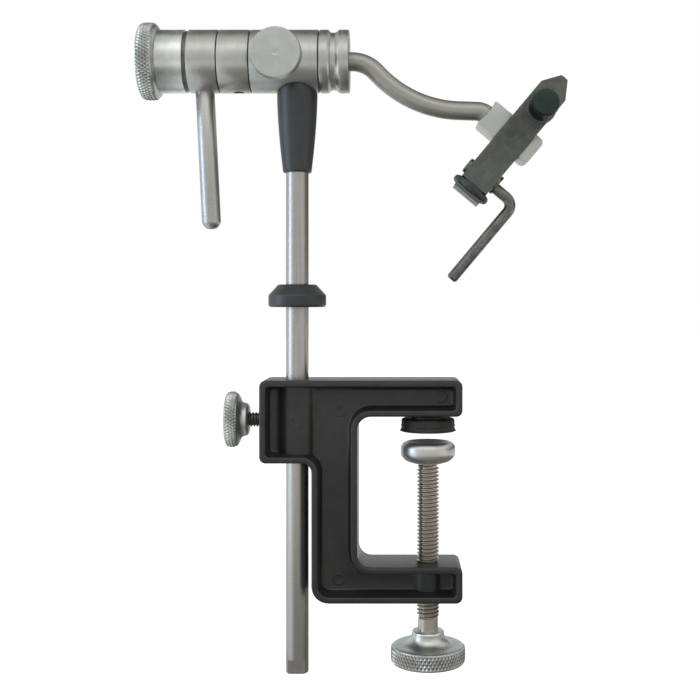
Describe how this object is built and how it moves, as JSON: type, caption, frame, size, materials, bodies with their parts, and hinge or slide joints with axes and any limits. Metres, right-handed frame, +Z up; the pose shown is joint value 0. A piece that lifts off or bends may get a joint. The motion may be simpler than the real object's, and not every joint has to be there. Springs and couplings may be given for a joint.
{
  "type": "fly tying vise",
  "caption": "Rotary fly tying vise with a C-clamp, a sliding post, a cranked spindle head, a bent stem and cam-lever jaws.",
  "frame": {"origin": "centre of the clamp pad's lower face, which rests on the table top", "axes": "+Z up along the post; +X from the rear knob to the jaws, along the rotary axis; -Y towards the lock knob"},
  "size_m": [0.1796, 0.0382, 0.2733],
  "materials": {
    "cast_black": "fine textured black coat",
    "pad_rubber": "matte rubber",
    "turned_steel": "brushed round its axis",
    "post_steel": "polished along its length",
    "knurled_steel": "diamond knurl, turned faces",
    "screw_steel": "plain threaded steel",
    "stem_steel": "warm grey bead-blasted steel",
    "blasted_metal": "bead-blasted",
    "black_oxide": "black oxide on steel",
    "black_plastic": "satin",
    "soft_brass": "turned",
    "bearing_bronze": "sintered",
    "ring_rubber": "smooth rubber"
  },
  "bodies": {
    "clamp": {"clamp_frame": "cast_black", "clamp_pad": "pad_rubber"},
    "pressure_head": {"pressure_head": "turned_steel"},
    "clamp_screw": {"clamp_screw": "screw_steel", "clamp_knob": "knurled_steel"},
    "post_lock_tip": {"post_thumbscrew_tip": "soft_brass"},
    "post_thumbscrew": {"post_thumbscrew": "black_oxide", "post_thumbscrew_knob": "knurled_steel"},
    "stop_collar": {"stop_collar": "black_plastic", "stop_collar_set_screw": "black_oxide"},
    "head": {"post": "post_steel", "post_sleeve": "black_plastic", "rotary_housing": "turned_steel", "front_bushing": "bearing_bronze", "rear_bushing": "bearing_bronze"},
    "lock_plug": {"lock_plug": "soft_brass"},
    "lock_knob": {"lock_screw": "screw_steel", "lock_knob": "knurled_steel"},
    "rotor": {"spindle": "turned_steel", "front_collar": "turned_steel", "front_thrust_washer": "black_plastic", "stem": "stem_steel", "stem_set_screw": "black_oxide", "rear_ring": "turned_steel", "rear_ring_set_screw": "black_oxide", "rear_thrust_washer": "black_plastic", "crank_washer": "black_plastic", "drag_washer": "black_plastic", "rear_knob": "knurled_steel", "rear_knob_set_screw": "black_oxide", "jaw_holder": "blasted_metal", "jaw_rear": "black_oxide", "jaw_screws": "black_oxide", "jaw_o_ring": "ring_rubber"},
    "crank": {"crank_ring": "turned_steel", "crank_rod": "post_steel"},
    "jaw_front": {"jaw_front": "black_oxide"},
    "jaw_adjuster": {"jaw_adjust_screw": "black_oxide", "jaw_adjust_knob": "black_oxide"},
    "cam_lever": {"cam_lever": "black_oxide"}
  },
  "joints": [
    {"name": "clamp_screw_travel", "type": "slide", "parent": "clamp", "child": "pressure_head", "axis": [0, 0, 1], "range_m": [-0.0405, 0.004]},
    {"name": "clamp_screw_turn", "type": "hinge", "parent": "pressure_head", "child": "clamp_screw", "pos_m": [0, 0, -0.09], "axis": [0, 0, 1], "range_deg": [-9186, 909]},
    {"name": "post_lock_travel", "type": "slide", "parent": "clamp", "child": "post_lock_tip", "axis": [-1, 0, 0], "range_m": [0, 0.00254]},
    {"name": "post_lock_turn", "type": "hinge", "parent": "post_lock_tip", "child": "post_thumbscrew", "pos_m": [-0.08, 0, 0.00495], "axis": [-1, 0, 0], "range_deg": [0, 721]},
    {"name": "post_lift", "type": "slide", "parent": "clamp", "child": "stop_collar", "axis": [0, 0, 1], "range_m": [-0.0299, 0.085]},
    {"name": "post_swivel", "type": "hinge", "parent": "stop_collar", "child": "head", "pos_m": [-0.0551, 0, 0.05], "axis": [0, 0, 1], "continuous": true},
    {"name": "lock_plug_travel", "type": "slide", "parent": "head", "child": "lock_plug", "axis": [0, -1, 0], "range_m": [0, 0.00191]},
    {"name": "rotary_lock_turn", "type": "hinge", "parent": "lock_plug", "child": "lock_knob", "pos_m": [-0.06252, -0.015, 0.1557], "axis": [0, -1, 0], "range_deg": [0, 541]},
    {"name": "rotary_spin", "type": "hinge", "parent": "head", "child": "rotor", "pos_m": [-0.0551, 0, 0.1557], "axis": [1, 0, 0], "continuous": true},
    {"name": "crank_turn", "type": "hinge", "parent": "rotor", "child": "crank", "pos_m": [-0.094, 0, 0.1557], "axis": [1, 0, 0], "continuous": true},
    {"name": "cam_lever_turn", "type": "hinge", "parent": "rotor", "child": "cam_lever", "pos_m": [0.02258, 0, 0.10722], "axis": [0.766, 0, -0.6428], "range_deg": [-90, 0]},
    {"name": "jaw_rock", "type": "hinge", "parent": "rotor", "child": "jaw_front", "pos_m": [0.04706, -0.0073, 0.13485], "axis": [0.766, 0, -0.6428], "range_deg": [-0.1, 2.58], "deforming": ["jaw_o_ring"]},
    {"name": "jaw_adjust_turn", "type": "hinge", "parent": "rotor", "child": "jaw_adjuster", "pos_m": [0.04706, -0.0073, 0.13485], "axis": [0, -1, 0], "range_deg": [-180, 360]}
  ],
  "couplings": [
    {"joint": "clamp_screw_turn", "follows": "clamp_screw_travel", "rad_per_m": 3957.9},
    {"joint": "post_lock_turn", "follows": "post_lock_travel", "rad_per_m": 4947.4},
    {"joint": "rotary_lock_turn", "follows": "lock_plug_travel", "rad_per_m": 4947.4},
    {"joint": "jaw_rock", "follows": "cam_lever_turn", "ratio": -0.027587}
  ]
}
